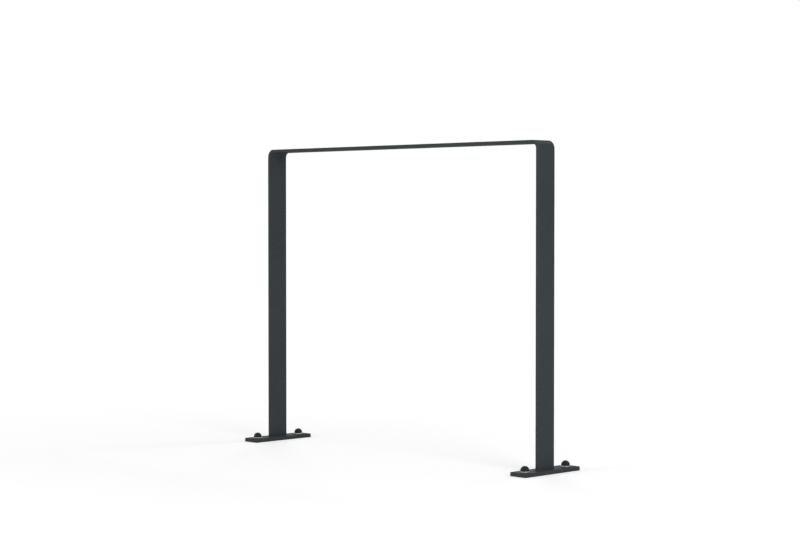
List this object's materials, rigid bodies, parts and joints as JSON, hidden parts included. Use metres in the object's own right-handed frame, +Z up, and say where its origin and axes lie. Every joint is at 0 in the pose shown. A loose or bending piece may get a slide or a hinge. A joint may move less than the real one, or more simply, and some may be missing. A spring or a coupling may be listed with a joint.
{
  "type": "hoop bike rack",
  "caption": "Bike rack for a street or park: a flat steel bar bent into an upturned U on two bolted base plates, for leaning and locking cycles.",
  "frame": {"origin": "on the ground, under the plates, midway between the legs and in the middle of the plates' length: the centre of the pattern of four anchor studs", "axes": "+X along the hoop, from the left leg to the right leg; +Y across the hoop, from front to rear; +Z up"},
  "size_m": [1.042, 0.2, 0.8637],
  "materials": {
    "powder_coat": "satin powder coat, anthracite grey",
    "zinc_steel": "zinc plated",
    "black_plastic": "smooth moulded"
  },
  "bodies": {
    "root": {"hoop": "powder_coat", "base_plate_left": "powder_coat", "base_plate_right": "powder_coat", "weld_left": "powder_coat", "weld_right": "powder_coat", "dome_cap_left_front": "black_plastic", "dome_cap_left_rear": "black_plastic", "dome_cap_right_front": "black_plastic", "dome_cap_right_rear": "black_plastic", "washer_left_front": "zinc_steel", "washer_left_rear": "zinc_steel", "washer_right_front": "zinc_steel", "washer_right_rear": "zinc_steel", "hex_nut_left_front": "zinc_steel", "hex_nut_left_rear": "zinc_steel", "hex_nut_right_front": "zinc_steel", "hex_nut_right_rear": "zinc_steel", "anchor_stud_left_front": "zinc_steel", "anchor_stud_left_rear": "zinc_steel", "anchor_stud_right_front": "zinc_steel", "anchor_stud_right_rear": "zinc_steel", "expansion_clip_left_front": "zinc_steel", "expansion_clip_left_rear": "zinc_steel", "expansion_clip_right_front": "zinc_steel", "expansion_clip_right_rear": "zinc_steel"}
  },
  "joints": []
}
